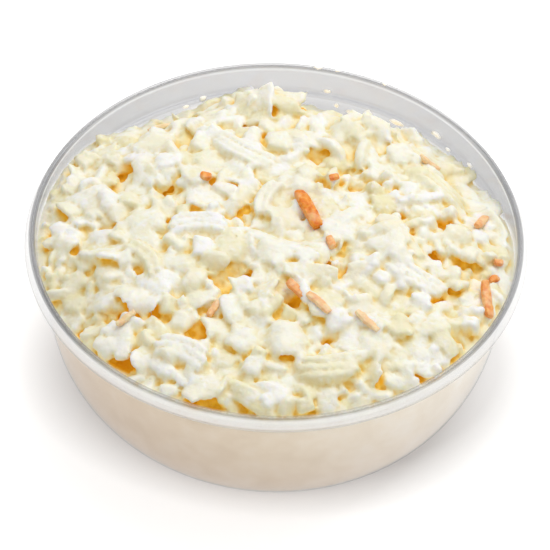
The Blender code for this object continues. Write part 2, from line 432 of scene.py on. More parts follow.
# x, y, radius, height.
CLUMPS = (
    (-3.0 * MM, 42.0 * MM, 9.0 * MM, 5.0 * MM),
    (19.0 * MM, 34.0 * MM, 8.0 * MM, 2.6 * MM),
    (-24.0 * MM, 12.0 * MM, 12.0 * MM, 1.7 * MM),
    (28.0 * MM, -8.0 * MM, 11.0 * MM, 2.0 * MM),
)


# %% Height of the heap
def smooth_step(value):
    """0 below 0, 1 above 1, and t^2 (3 - 2t) between."""
    t = np.clip(value, 0.0, 1.0)
    return t * t * (3 - 2 * t)


def bells(x, y, table):
    """The sum of rows (x, y, radius, height), each a bell height * exp(-(d / 0.6 radius)^2)."""
    total = np.zeros(np.shape(x))
    for bell_x, bell_y, reach, height in table:
        squared = (x - bell_x) ** 2 + (y - bell_y) ** 2
        total = total + height * np.exp(-squared / (0.6 * reach) ** 2)
    return total


def heap_level(x, y):
    """The heap's height: a dome e + c (1 - (r/R)^3), less bells in direction, plus bells in place."""
    radius = np.hypot(x, y)
    direction = np.degrees(np.arctan2(y, x))
    level = EDGE_LEVEL + (CROWN_LEVEL - EDGE_LEVEL) * (1 - (radius / DOME_RADIUS) ** DOME_POWER)
    ramp = smooth_step((radius - SLUMP_CREST_RADIUS) / (SLUMP_FOOT_RADIUS - SLUMP_CREST_RADIUS))
    for angle, half_angle, deepest in SLUMPS:
        off = (direction - angle + 180) % 360 - 180
        level = level - deepest * np.exp(-((off / half_angle) ** 2)) * ramp
    return level + bells(x, y, CLUMPS)


print(f"crown {1000 * heap_level(0.0, 0.0):.1f} mm, back {1000 * heap_level(0.016, 0.049):.1f} mm")

# %% Show the cup
section_r, section_z = middle_line.T


def near(value, middle, reach):
    """1 where a value is at a middle, falling off by exp(-(d / reach)^2)."""
    return np.exp(-(((value - middle) / reach) ** 2))


on_bead = (section_r > COLLAR_TOP_RADIUS - 0.01 * MM) & (section_z > LIP_HEIGHT - 0.8 * MM)
on_skirt = section_r > COLLAR_TOP_RADIUS + 2 * BEAD_RADIUS - 0.01 * MM
bead_share = np.clip((section_r - COLLAR_TOP_RADIUS) / (2 * BEAD_RADIUS), 0, 1)
# Painted shade: the bead is tinted grey, greyest at its inner and outer turns, where a thick clear bead
# looks dark.
bead_painted_shade = np.where(on_bead, 0.58 + 0.22 * np.abs(2 * bead_share - 1) ** 6, 0.0)
# Painted shade: dark lines along the skirt's lower edge and the ledge, and a dark line round the foot where
# the cup meets the table.
painted_shade_lines = 0.35 * on_skirt * near(section_z, LIP_HEIGHT - SKIRT_DEPTH, 0.3 * MM)
painted_shade_lines += 0.12 * near(section_z, LEDGE_HEIGHT + 0.2 * MM, 0.7 * MM)
painted_shade_lines += 0.95 * near(section_z, 0.2 * MM, 0.5 * MM) * (section_r > FOOT_OUTER_RADIUS)
# Painted highlight: a glowing line just under the bead, and a fainter one at the ledge.
section_painted_highlight = 0.8 * near(section_z, LIP_HEIGHT - 1.1 * MM, 0.25 * MM) * ~on_skirt
section_painted_highlight += 0.3 * near(section_z, LEDGE_HEIGHT - 0.6 * MM, 0.15 * MM)
section_haze = 0.15 * on_skirt
cup_points = closed_points(cup_rings)
from_front = smooth_step((cup_points[..., 1] + 55 * MM) / (35 * MM))
at_back = smooth_step((cup_points[..., 1] - 15 * MM) / (30 * MM))
to_back = smooth_step((cup_points[..., 1] + 30 * MM) / (60 * MM))
wet_level = heap_level(cup_points[..., 0] * 0.97, cup_points[..., 1] * 0.97) - 3 * MM * to_back
on_foot = cup_points[..., 2] < 5 * MM
# Round the cup the painted shade and glow change: the bead's grey is light at the front and back, the lines
# and the skirt are darker at the back, and the skirt glows at the front.
cup = make_piece(
    "cup_sheet",
    cup_points,
    closed_faces(cup_rings.shape[1], CUP_STEPS),
    pet,
    {
        "dry": smooth_step((cup_points[..., 2] - wet_level) / (1.5 * MM))
        * (1 - along_section((on_skirt | on_bead) * 1.0)),
        "bead": along_section(bead_painted_shade) * (0.14 + 0.86 * from_front) * (1 - 0.62 * at_back)
        + along_section(painted_shade_lines) * np.where(on_foot, 1, 0.3 + 0.7 * to_back)
        + along_section(0.2 * on_skirt) * at_back,
        "haze": along_section(section_haze),
        "painted_highlight": along_section(section_painted_highlight) * from_front
        + along_section(0.3 * (on_skirt & (painted_shade_lines < 0.1))) * (1 - to_back),
    },
)

# %% [markdown]
# ## Chopped cabbage
#
# A white cabbage that goes through a chopper comes out as three sorts of piece. Leaf gives thin
# cupped flakes, cut straight on four or five sides. The ribs give thick chunks, and wherever the
# blade runs along a leaf there is a curled strip. Dressing coats them all and rounds their edges.
#
# A flake's outline is cut by lines at set distances from its middle. Taking the nearest line in each
# direction gives sharp corners, and adding the lines up with a high power rounds them, as the
# dressing does. Only its outline, thickness and curl change from piece to piece, so thousands of
# them are worked out at once as one array.

# %% Random numbers
rng = np.random.default_rng(11)


def between(low, high, size):
    """Evenly spread random sizes, in millimetres, as metres."""
    return rng.uniform(low, high, size) * MM


# %% Flakes and chunks
FLAKE_AROUND = 18
FLAKE_REACH = np.array([0.5, 0.86, 1.0, 0.88, 0.5])
FLAKE_RISE = np.array([1.0, 0.66, 0.0, -0.66, -1.0])
CHUNK_REACH = np.array([0.66, 0.92, 1.0, 0.92, 0.66])
CHUNK_RISE = np.array([1.0, 0.76, 0.0, -0.76, -1.0])


def cut_outline(count, around, sides, ragged):
    """Outlines r(a) = (sum over cuts of (max(cos(a - cut), 0) / distance)^8)^(-1/8), made ragged."""
    angle = np.linspace(0, 2 * math.pi, around, endpoint=False)
    cuts = (np.arange(sides) + rng.uniform(-0.22, 0.22, (count, sides))) * 2 * math.pi / sides
    distance = rng.uniform(0.62, 1.12, (count, sides))
    facing = np.maximum(np.cos(angle - cuts[:, :, None]), 0)
    outline = ((facing / distance[:, :, None]) ** 8).sum(axis=1) ** (-1 / 8)
    return outline * (1 + ragged * rng.normal(size=outline.shape))


def flakes(count, radius, thickness, curl, sides, reach, rise, ragged=0.06, around=FLAKE_AROUND):
    """Flakes with an outline, a thickness that rounds off at the edge, and a curl.

    A point at (x, y) under the outline has the height (bend_x x^2 + bend_y y^2) / R + ruffle,
    plus or minus half the thickness times its ring's rise.
    """
    angle = np.linspace(0, 2 * math.pi, around, endpoint=False)
    outline = cut_outline(count, around, sides, ragged) * radius[:, None]
    r = reach[None, :, None] * outline[:, None, :]
    x, y = r * np.cos(angle), r * np.sin(angle)
    bend = rng.normal(0, curl, (2, count, 1, 1)) / radius[None, :, None, None]
    phase = rng.uniform(0, 2 * math.pi, (count, 1, 1))
    ruffle = 0.35 * curl * radius[:, None, None] * (reach[None, :, None] ** 2)
    height = bend[0] * x**2 + bend[1] * y**2 + ruffle * np.cos(3 * angle + phase)
    height = height + rise[None, :, None] * thickness[:, None, None] / 2
    return closed_points(np.stack([x, y, height], axis=-1))


# %% Strips
STRIP_AROUND = 8
STRIP_RINGS = 10


def strips(count, length, width, thickness, curl, twist, taper=0.35):
    """Strips: a flat oval section carried along an arc that curls and twists.

    At a distance s the arc heads at the angle curl * s / length. The section's points are
    (w/2) cos|..|^0.6 across and (t/2) sin|..|^0.6 through, and narrow towards both ends.
    """
    share = np.linspace(-0.5, 0.5, STRIP_RINGS)
    heading = curl[:, None] * share
    step = length[:, None] / (STRIP_RINGS - 1)
    run = np.cumsum(np.cos(heading) * step, axis=1)
    climb = np.cumsum(np.sin(heading) * step, axis=1)
    run -= run.mean(axis=1, keepdims=True)
    climb -= climb.mean(axis=1, keepdims=True)
    narrow = 1 - taper * np.abs(2 * share) ** 4
    around = -np.linspace(0, 2 * math.pi, STRIP_AROUND, endpoint=False)
    across = np.sign(np.cos(around)) * np.abs(np.cos(around)) ** 0.6
    through = np.sign(np.sin(around)) * np.abs(np.sin(around)) ** 0.6
    across = across * narrow[:, None] * width[:, None, None] / 2
    through = through * narrow[:, None] * thickness[:, None, None] / 2
    turn = (twist[:, None] * share)[:, :, None]
    side = across * np.cos(turn) - through * np.sin(turn)
    up = across * np.sin(turn) + through * np.cos(turn)
    lean = heading[:, :, None]
    x = run[:, :, None] - up * np.sin(lean)
    z = climb[:, :, None] + up * np.cos(lean)
    return closed_points(np.stack([x, side, z], axis=-1))


# %% Make each kind
LEAVES, CHUNKS, CURLS, CRUMBS = 540, 300, 290, 460

kinds = {
    "leaf": {
        "points": flakes(
            LEAVES, between(2.6, 6.2, LEAVES), between(1.5, 2.8, LEAVES), 0.22, 5,
            FLAKE_REACH, FLAKE_RISE, ragged=0.1,
        ),
        "faces": closed_faces(len(FLAKE_REACH), FLAKE_AROUND),
        "tilt": 26.0,
        "spin": 1.0,
    },
    "rib": {
        "points": flakes(
            CHUNKS, between(2.0, 3.9, CHUNKS), between(2.6, 4.6, CHUNKS), 0.1, 4,
            CHUNK_REACH, CHUNK_RISE, ragged=0.07,
        ),
        "faces": closed_faces(len(CHUNK_REACH), FLAKE_AROUND),
        "tilt": 30.0,
        "spin": 1.0,
    },
    "strip": {
        "points": strips(
            CURLS, between(6, 13, CURLS), between(2.6, 4.8, CURLS), between(1.6, 2.8, CURLS),
            rng.uniform(-1.8, 1.8, CURLS), rng.uniform(-1.0, 1.0, CURLS),
        ),
        "faces": closed_faces(STRIP_RINGS, STRIP_AROUND),
        "tilt": 28.0,
        "spin": 0.1,
    },
    "crumb": {
        "points": flakes(
            CRUMBS, between(0.9, 2.1, CRUMBS), between(1.0, 2.2, CRUMBS), 0.1, 4,
            np.array([0.7, 1.0, 0.7]), np.array([0.85, 0.0, -0.85]), around=9,
        ),
        "faces": closed_faces(3, 9),
        "tilt": 40.0,
        "spin": 1.0,
    },
}
print({kind: len(made["points"]) for kind, made in kinds.items()})

# %% [markdown]
# ## Piling them up
#
# Chopped pieces don't float at random: each one comes to rest on those under it. A map of heights
# over the heap stands for what lies there already. Each piece is turned at random, put where the
# heap is still lowest under its form, let down until it touches, and then it marks the map with its
# own top. The last ones in lie on top, overlap their neighbours and leave dark gaps between.

# %% Map of heights
CELL = 0.5 * MM
MAP_REACH = 57.5 * MM
CORE_DROP = 5.5 * MM
HEAP_REACH = 55.4 * MM
PROUD = 1.6 * MM

map_ticks = np.arange(-MAP_REACH, MAP_REACH + CELL / 2, CELL)
map_x, map_y = np.meshgrid(map_ticks, map_ticks, indexing="ij")


def cell_of(x, y):
    """Row and column of the map's cell under each point."""
    last = len(map_ticks) - 1
    column = np.clip(np.rint((x + MAP_REACH) / CELL).astype(int), 0, last)
    row = np.clip(np.rint((y + MAP_REACH) / CELL).astype(int), 0, last)
    return column, row


def samples_of(faces, points):
    """Points spread over pieces: their corners, and the middle of every face and of its sides."""
    spread = [points]
    for block in faces:
        spread.append(points[..., block, :].mean(axis=-2))
        following = np.roll(block, -1, axis=1)
        halves = (points[..., block, :] + points[..., following, :]) / 2
        spread.append(halves.reshape(*points.shape[:-2], -1, 3))
    return np.concatenate(spread, axis=-2)


def bed_level(x, y):
    """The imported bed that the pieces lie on: well under the heap, but smeared up along the wall."""
    smeared = smooth_step((np.hypot(x, y) - 50 * MM) / (4.5 * MM))
    return heap_level(x, y) - CORE_DROP + (CORE_DROP - 1.2 * MM) * smeared


heights = bed_level(map_x, map_y)
print(f"map: {heights.size} cells")

# %% Gaps
# x, y, radius of the deepest gaps between the pieces, in millimetres.
GAPS = np.array(
    [
        (6, -4, 2.0), (42, -9, 2.2), (46, -12, 2.4), (51, -11, 1.8), (17, 18, 2.2),
        (20, 14, 2.2), (3, -25, 2.8), (-12, -21, 2.4), (-8, -18, 2.6), (8, 21, 2.0),
        (15, -16, 2.2), (-27, -30, 2.6), (-9, 29, 2.0), (-4, 24, 2.0), (-36, 17, 2.4),
        (-38, 10, 2.0), (-5, -3, 2.0), (-8, 2, 2.0), (-24, 8, 2.2), (-22, 27, 1.6),
        (12, -35, 2.0), (6, -31, 2.0), (22, 1, 2.2), (-9, -42, 2.2), (42, -22, 1.8),
        (36, -19, 1.8), (-34, -27, 1.8), (37, -8, 2.0), (25, -14, 1.6), (28, 4, 1.6),
        (23, -25, 1.8), (-31, -40, 1.8), (4, -45, 2.0), (-29, -16, 2.2), (-39, -3, 2.0),
        (-42, -26, 2.0), (-14, -28, 1.8), (-17, -34, 2.0), (-25, -1, 2.0), (40, 3, 2.0),
        (14, -46, 1.8),
    ]
) * MM


def room_for(x, y, reach):
    """How far inside the nearest gap's edge a piece of some reach would lie: positive is clear."""
    apart = np.hypot(GAPS[:, 0] - x[..., None], GAPS[:, 1] - y[..., None])
    return (apart - 0.6 * GAPS[:, 2] - 0.62 * reach).min(axis=-1)


# %% Let the pieces down
def heap_slope(x, y):
    """The heap's upward normal at a point, from the level's differences over a millimetre."""
    rise_x = (heap_level(x + MM / 2, y) - heap_level(x - MM / 2, y)) / MM
    rise_y = (heap_level(x, y + MM / 2) - heap_level(x, y - MM / 2)) / MM
    return Vector((-rise_x, -rise_y, 1.0)).normalized()


def turned_up(normal, swing, lean, spin):
    """A spin about Z, a lean about X, a swing about Z (all in degrees), then up to a normal."""
    turn = Matrix.Rotation(math.radians(swing), 3, "Z")
    turn = turn @ Matrix.Rotation(math.radians(lean), 3, "X")
    turn = turn @ Matrix.Rotation(math.radians(spin), 3, "Z")
    upright = Vector((0, 0, 1)).rotation_difference(normal).to_matrix()
    return np.array(upright @ turn)


def lowest_spot(reach, keep_clear, tries=16):
    """The one of a few random places on the heap where it is furthest under its level.

    A piece that must keep clear of the gaps counts a place on one as already full.
    """
    radius = (HEAP_REACH - 0.6 * reach) * np.sqrt(rng.uniform(0, 1, tries))
    angle = rng.uniform(0, 2 * math.pi, tries)
    x, y = radius * np.cos(angle), radius * np.sin(angle)
    short = heap_level(x, y) - heights[cell_of(x, y)]
    if keep_clear:
        short = np.where(room_for(x, y, reach) < 0, -1.0, short)
    best = np.argmax(short)
    return x[best], y[best]


def let_down(points, faces, x, y, turn, proud, tone, sink=0.7):
    """Places one piece where it rests: a share of its underside lies in what is there already.

    Where it comes out on top, the map of heights and the map of tones take its values.
    """
    placed = points @ turn.T + (x, y, 0.0)
    spread = samples_of(faces, placed)
    column, row = cell_of(spread[:, 0], spread[:, 1])
    rest = np.quantile(heights[column, row] - spread[:, 2], sink)
    rest = min(rest, heap_level(x, y) + proud - placed[:, 2].max())
    placed[:, 2] += rest
    above = spread[:, 2] + rest > heights[column, row]
    tones[column[above], row[above]] = tone
    np.maximum.at(heights, (column, row), spread[:, 2] + rest)
    return placed


tones = np.full(heights.shape, 0.3)


counts = [len(made["points"]) for made in kinds.values()]
order = rng.permutation(np.repeat(np.arange(len(counts)), counts))
for made in kinds.values():
    made["placed"] = []
for turn_number, number in enumerate(order):
    made = list(kinds.values())[number]
    piece = made["points"][len(made["placed"])]
    reach = np.abs(piece[:, :2]).max()
    x, y = lowest_spot(reach, keep_clear=turn_number > 0.4 * len(order))
    lean = np.clip(rng.normal(0, made["tilt"]), -75, 75)
    spin = made["spin"] * rng.uniform(-180, 180)
    turn = turned_up(heap_slope(x, y), rng.uniform(0, 360), lean, spin)
    proud = PROUD * rng.uniform(-0.6, 1.6)
    tone = rng.beta(0.8, 1.3)
    made["placed"].append(let_down(piece, made["faces"], x, y, turn, proud, tone))
inside_map = np.hypot(map_x, map_y) < HEAP_REACH
short = (heap_level(map_x, map_y) - heights)[inside_map]
print(f"under the level by {1000 * short.mean():.2f} mm on average, {-1000 * short.min():.2f} over at most")

# %% [markdown]
# ## Layered leaf
#
# A cabbage is a ball of leaves wrapped close together. Where the blade cuts across it, a few layers
# stay in one piece, and it shows as curved ridges side by side. Each of these is a set of strips on
# edge with one curl, a strip's thickness apart.

# %% Layered pieces
# x, y, direction of the middle in degrees, length, curl in radians, layers.
LAYERED = (
    (-9.0, 21.0, -38.0, 20.0, -1.3, 3),
    (22.0, 31.0, 30.0, 13.0, 1.1, 3),
    (-33.0, 22.0, 15.0, 16.0, 1.4, 3),
    (38.0, 14.0, -35.0, 15.0, -0.9, 3),
    (-18.0, -4.0, 5.0, 14.0, 1.0, 3),
    (31.0, -16.0, -30.0, 16.0, -1.1, 3),
    (-30.0, -14.0, -50.0, 13.0, 1.2, 2),
    (13.0, -43.0, 10.0, 15.0, -1.0, 3),
    (-2.0, 5.0, 75.0, 12.0, 1.2, 2),
    (-20.0, -40.0, -20.0, 13.0, 0.9, 3),
)
LAYER_GAP = 1.9 * MM

layered = []
for x, y, direction, length, curl, layers in LAYERED:
    across = math.radians(direction + 90)
    tone = rng.beta(0.8, 1.3)
    for layer in np.arange(layers) - (layers - 1) / 2:
        sizes = [np.array([size * MM]) for size in (length * (1 - 0.1 * abs(layer)), 4.6, 2.2)]
        points = strips(1, *sizes, np.array([curl]), np.array([0.3]))[0]
        here = (x * MM + layer * LAYER_GAP * math.cos(across), y * MM + layer * LAYER_GAP * math.sin(across))
        turn = turned_up(heap_slope(*here), direction, 62, 0)
        layered.append(let_down(points, kinds["strip"]["faces"], *here, turn, 2.2 * MM, tone, 0.8))
kinds["strip"]["placed"] += layered
print(f"layered: {len(layered)} strips")

# %% Upright leaves
# x, y, radius, lean in degrees, how far its top stands over the heap.
UPRIGHT = (
    (-7.4, 43.2, 3.8, 56.0, -0.4),
    (-5.0, 43.8, 4.6, 60.0, 0.9),
    (-1.6, 43.9, 4.6, 60.0, 0.7),
    (1.2, 43.2, 3.6, 58.0, -0.6),
    (-16.4, 42.6, 3.6, 55.0, 1.8),
    (-13.0, 42.8, 3.4, 55.0, 1.4),
    (4.6, 42.4, 3.0, 60.0, 0.6),
)
for x, y, radius, lean, top in UPRIGHT:
    size = np.array([radius * MM])
    points = flakes(1, size, 0.4 * size, 0.15, 5, FLAKE_REACH, FLAKE_RISE, ragged=0.12)[0]
    turn = turned_up(Vector((0, 0, 1)), 0, lean, 40)
    leaf = let_down(points, kinds["leaf"]["faces"], x * MM, y * MM, turn, top * MM, 0.0, 0.95)
    kinds["leaf"]["placed"].append(leaf)
print(f"tallest leaf reaches {1000 * max(leaf[:, 2].max() for leaf in kinds['leaf']['placed']):.1f} mm")

# %% [markdown]
# ## Carrot shreds
#
# A few shreds of carrot lie among the cabbage, cut on a grater: square in section, blunt at the
# ends, and bright orange where the dressing has not covered them. They go in last, each at its own
# place, and sink into what is there.

# %% Carrot shreds
# x, y, direction in degrees, length, width, how much dressing covers it.
SHREDS = (
    (7.2, 2.0, -66.0, 12.0, 3.3, 0.0),
    (-17.0, 10.5, 0.0, 2.6, 2.2, 0.0),
    (13.0, 11.5, 20.0, 2.2, 1.8, 0.1),
    (12.5, -8.5, -75.0, 3.4, 2.0, 0.3),
    (5.0, -23.0, -48.0, 6.0, 2.2, 0.2),
    (10.0, -27.5, -45.0, 7.0, 2.0, 0.5),
    (21.0, -31.0, -45.0, 7.0, 1.8, 0.7),
    (48.5, -19.0, -84.0, 10.0, 2.3, 0.15),
    (48.0, 6.0, 62.0, 6.0, 2.0, 0.35),
    (51.5, -7.0, 10.0, 2.2, 1.8, 0.2),
    (50.5, -11.0, 30.0, 2.6, 1.8, 0.1),
    (-13.5, -28.0, 60.0, 4.5, 1.7, 0.5),
    (-29.0, 33.0, 20.0, 6.0, 1.6, 0.8),
    (36.0, 24.0, -20.0, 6.0, 1.8, 0.7),
    (-33.0, -31.0, 35.0, 5.0, 1.6, 0.75),
)
shred_table = np.array(SHREDS)
shred_count = len(shred_table)
shred_points = strips(
    shred_count,
    shred_table[:, 3] * MM,
    shred_table[:, 4] * MM,
    shred_table[:, 4] * 0.7 * MM,
    rng.uniform(-0.5, 0.5, shred_count),
    rng.uniform(-0.4, 0.4, shred_count),
    taper=0.25,
)
strip_faces = closed_faces(STRIP_RINGS, STRIP_AROUND)
shreds = []
for points, (x, y, direction, _, width, _) in zip(shred_points, SHREDS):
    x, y = x * MM, y * MM
    turn = turned_up(heap_slope(x, y), direction, 0, 0)
    shreds.append(let_down(points, strip_faces, x, y, turn, 2.6 * MM, 0.0, sink=0.5))


# %% Press everything against the wall
PRESS = 0.12 * MM


def pressed_in(points):
    """Points kept inside the cup: one that is past its inner wall is drawn in to just past it.

    At the back, where the sheet is bare, what stands over the heap's level leans in a little.
    """
    x, y, z = points[..., 0], points[..., 1], points[..., 2]
    radius = np.hypot(x, y)
    proud = smooth_step((z - heap_level(x, y) + 2 * MM) / MM) * smooth_step((y - 15 * MM) / (15 * MM))
    limit = inside_radius(z) + PRESS - 0.35 * MM * proud
    share = np.minimum(1.0, limit / np.maximum(radius, MM))
    return points * np.stack([share, share, np.ones_like(share)], axis=-1)


for made in kinds.values():
    made["placed"] = pressed_in(np.array(made["placed"]))
shreds = pressed_in(np.array(shreds) + (0, 0, 0.7 * MM))

# %% [markdown]
# ## Dressing joins the pieces
#
# Dressing runs down between the pieces and joins them: each meets the next in a round fillet, and
# only the deep gaps stay open. To make that form, every piece is swollen by a film's thickness, the
# lot is turned into one skin over everything, and the skin is shrunk back by the same amount. What
# stood free keeps its form, and what was narrower than two films is filled. A fine ragged relief
# then gives the cut edges, and the skin's flat hidden underside is thinned out.

# %% Join the pieces
FILM = 0.1 * MM
SKIN_CELL = 0.37 * MM
SKIN_TRIANGLES = 190_000
BED_AROUND, BED_RINGS = 160, 40


def bed_rings():
    """A slab under the pieces: its top is the bed, its underside lies 1.8 mm lower."""
    angle = np.linspace(0, 2 * math.pi, BED_AROUND, endpoint=False)
    share = np.linspace(0.02, 1, BED_RINGS)[:, None]
    edge = bed_level(HEAP_REACH * np.cos(angle), HEAP_REACH * np.sin(angle))
    r = (inside_radius(edge) + PRESS) * share
    top = bed_level(r * np.cos(angle), r * np.sin(angle))
    z = np.vstack([top, top[::-1] - 1.8 * MM])
    r = np.vstack([r, r[::-1]]) + 0 * z
    return np.stack([r * np.cos(angle), r * np.sin(angle), z], axis=-1)


def add_modifier(target, kind, settings):
    """Adds a modifier with its settings by name."""
    modifier = target.modifiers.new(kind.lower(), kind)
    for name, value in settings.items():
        setattr(modifier, name, value)
    return modifier


def finished_mesh(target):
    """The mesh of an object with all its modifiers applied."""
    return bpy.data.meshes.new_from_object(target.evaluated_get(bpy.context.evaluated_depsgraph_get()))


corners, blocks, start = [], [], 0
bed = {"placed": closed_points(bed_rings()[None]), "faces": closed_faces(2 * BED_RINGS, BED_AROUND)}
for made in (bed, *kinds.values()):
    count, each, _ = made["placed"].shape
    offset = start + np.arange(count)[:, None, None] * each
    for block in made["faces"]:
        blocks += (block + offset).reshape(-1, block.shape[1]).tolist()
    corners.append(made["placed"].reshape(-1, 3))
    start += count * each
loose = bpy.data.meshes.new("loose_pieces")
loose.from_pydata(np.vstack(corners), [], blocks)
pile = bpy.data.objects.new("loose_pieces", loose)
scene.collection.objects.link(pile)

ragged = bpy.data.textures.new("ragged", "CLOUDS")
ragged.noise_scale = 0.9 * MM
ragged.noise_depth = 3
add_modifier(pile, "DISPLACE", {"strength": FILM, "mid_level": 0.0})
add_modifier(pile, "REMESH", {"mode": "VOXEL", "voxel_size": SKIN_CELL})
add_modifier(pile, "DISPLACE", {"strength": -FILM, "mid_level": 0.0})
add_modifier(pile, "SMOOTH", {"factor": 0.5, "iterations": 1})
add_modifier(pile, "DISPLACE", {"strength": 0.5 * MM, "mid_level": 0.5, "texture": ragged})
skin = finished_mesh(pile)
print("skin:", len(skin.polygons), "faces before thinning")
pile.modifiers.clear()
pile.data = skin
add_modifier(pile, "DECIMATE", {"ratio": min(1.0, SKIN_TRIANGLES / (2 * len(skin.polygons)))})
skin = finished_mesh(pile)
bpy.data.objects.remove(pile)

skin_points = np.empty(3 * len(skin.vertices), np.float32)
skin.vertices.foreach_get("co", skin_points)
skin_points = pressed_in(skin_points.reshape(-1, 3).astype(float))
skin.vertices.foreach_set("co", skin_points.astype(np.float32).ravel())
np.maximum.at(heights, cell_of(skin_points[:, 0], skin_points[:, 1]), skin_points[:, 2])
print("skin:", len(skin.polygons), "faces,", len(skin_points), "points")


# %% Read the map
def closed_gaps(field):
    """The map with its pinholes filled: the lowest of the highest of each cell's neighbours."""
    moves = [(i, j) for i in (-1, 0, 1) for j in (-1, 0, 1)]
    highest = np.max([np.roll(field, move, (0, 1)) for move in moves], axis=0)
    return np.min([np.roll(highest, move, (0, 1)) for move in moves], axis=0)


def map_at(field, x, y):
    """The map between its cells: the mean of the four round a point, weighted by nearness."""
    u = np.clip((x + MAP_REACH) / CELL, 0, len(map_ticks) - 1.001)
    v = np.clip((y + MAP_REACH) / CELL, 0, len(map_ticks) - 1.001)
    i, j = u.astype(int), v.astype(int)
    a, b = u - i, v - j
    low = field[i, j] * (1 - b) + field[i, j + 1] * b
    high = field[i + 1, j] * (1 - b) + field[i + 1, j + 1] * b
    return low * (1 - a) + high * a


skin_map = np.full(heights.shape, -1.0)
np.maximum.at(skin_map, cell_of(skin_points[:, 0], skin_points[:, 1]), skin_points[:, 2])
closed_map = closed_gaps(np.where(skin_map < 0, bed_level(map_x, map_y), skin_map))

# %% [markdown]
# ## How open each point lies
#
# Light that reaches a gap between creamy pieces has been through and off them many times, and comes
# out a warm yellow. That warm shade is painted into the colour, so the colour needs to know how deep a
# point lies. For each point we look in sixteen directions over the map of heights and find how high
# the heap rises there. The share of the sky left over is near 1 on a crest and near 0 in a gap, and it
# goes into the mesh as a value.
#
# Where two pieces meet there is a fine fold, and a darker line of painted shade goes into it. A point
# that lies under the mean of its neighbours is in such a fold, and one that stands over it is on a ridge.


# %% Openness
def openness(points, field):
    """Share of the sky: the mean over directions of 1 / (1 + h^2), h the steepest rise that way."""
    x, y, z = points[..., 0], points[..., 1], points[..., 2]
    total = np.zeros(x.shape)
    directions = np.linspace(0, 2 * math.pi, 16, endpoint=False)
    for angle in directions:
        steepest = np.zeros(x.shape)
        for distance in (0.9 * MM, 1.7 * MM, 2.8 * MM, 4.4 * MM, 7.0 * MM):
            there = map_at(field, x + distance * math.cos(angle), y + distance * math.sin(angle))
            steepest = np.maximum(steepest, (there - z) / distance)
        total += 1 / (1 + steepest**2)
    return total / len(directions)


skin_open = openness(skin_points, closed_map)
to_wall = inside_radius(skin_points[:, 2]) - np.hypot(skin_points[:, 0], skin_points[:, 1])
skin_open = np.maximum(skin_open, 0.78 * smooth_step(1 - (to_wall - 0.2 * MM) / (0.5 * MM)))
skin_tone = map_at(tones, skin_points[:, 0], skin_points[:, 1])


def ridges(mesh, points, passes=2):
    """How far each point stands over its neighbours' mean, along its normal, then evened out."""
    ends = np.empty(2 * len(mesh.edges), np.int32)
    mesh.edges.foreach_get("vertices", ends)
    ends = ends.reshape(-1, 2)
    here, there = np.concatenate([ends, ends[:, ::-1]]).T
    shared = np.bincount(here, minlength=len(points))[:, None]

    def neighbours_mean(values):
        sums = [np.bincount(here, value[there], len(points)) for value in values.T]
        return np.stack(sums, axis=1) / shared

    normals = np.empty(3 * len(points), np.float32)
    mesh.vertex_normals.foreach_get("vector", normals)
    over = ((points - neighbours_mean(points)) * normals.reshape(-1, 3)).sum(axis=1, keepdims=True)
    for _ in range(passes):
        over = (over + neighbours_mean(over)) / 2
    return over[:, 0]


skin_ridge = ridges(skin, skin_points)
print("ridges in mm:", (1000 * np.quantile(skin_ridge, (0.02, 0.1, 0.5, 0.9, 0.98))).round(3))
print("openness:", np.quantile(skin_open, (0.02, 0.1, 0.25, 0.5, 0.75, 0.9)).round(2))

# %% [markdown]
# ## Dressed white cabbage
#
# Chopped white cabbage in a mayonnaise dressing is near white where the light falls, cream on
# its flanks, and a warm straw to ochre in the gaps. The dressing is a film of oil and water, so
# the pieces have a soft wet gloss, and they let light in a little way before it comes out again.

# %% Cabbage material
cabbage, tree = new_material("chopped_cabbage_dressed")
place = add(tree, "ShaderNodeTexCoord")
seen = add(tree, "ShaderNodeAttribute", {"attribute_name": "open"})
tone = add(tree, "ShaderNodeAttribute", {"attribute_name": "tone"})
streaks = add(
    tree,
    "ShaderNodeTexNoise",
    {"Scale": 1 / (2.2 * MM), "Detail": 4.0, "Roughness": 0.6},
    {"Vector": place.outputs["Object"]},
)
uneven = add(
    tree,
    "ShaderNodeMath",
    {"operation": "MULTIPLY_ADD", 1: 0.3, 2: -0.15},
    {0: streaks.outputs["Fac"]},
)
lit = add(tree, "ShaderNodeMath", {"operation": "ADD"}, {0: seen.outputs["Fac"], 1: uneven.outputs["Value"]})
# Painted shade: warm ochre where a point lies deep in a gap, cream on the flanks, near white on the crests.
openness_painted_shade = colour_ramp(
    tree,
    lit.outputs["Value"],
    [
        (0.1, "#EBB42A"),
        (0.3, "#F6CC58"),
        (0.48, "#FCE29C"),
        (0.66, "#FAF0CE"),
        (0.85, "#FAF6E7"),
        (1.0, "#FDFCF8"),
    ],
)
pale = add(
    tree,
    "ShaderNodeMix",
    {"data_type": "RGBA", "blend_type": "MULTIPLY", 7: linear("#F3EDCA")},
    {0: tone.outputs["Fac"], 6: openness_painted_shade.outputs["Color"]},
)
# Painted shade: a darker cream line in the folds where pieces meet.
ridge = add(tree, "ShaderNodeAttribute", {"attribute_name": "ridge"})
fold_painted_shade = add(
    tree,
    "ShaderNodeMapRange",
    {"From Min": -0.15, "From Max": -0.03, "To Min": 1.0, "To Max": 0.0},
    {"Value": ridge.outputs["Fac"]},
)
with_fold_painted_shade = add(
    tree,
    "ShaderNodeMix",
    {"data_type": "RGBA", "blend_type": "MULTIPLY", 7: linear("#F0E0AE")},
    {0: fold_painted_shade.outputs["Result"], 6: pale.outputs[2]},
)
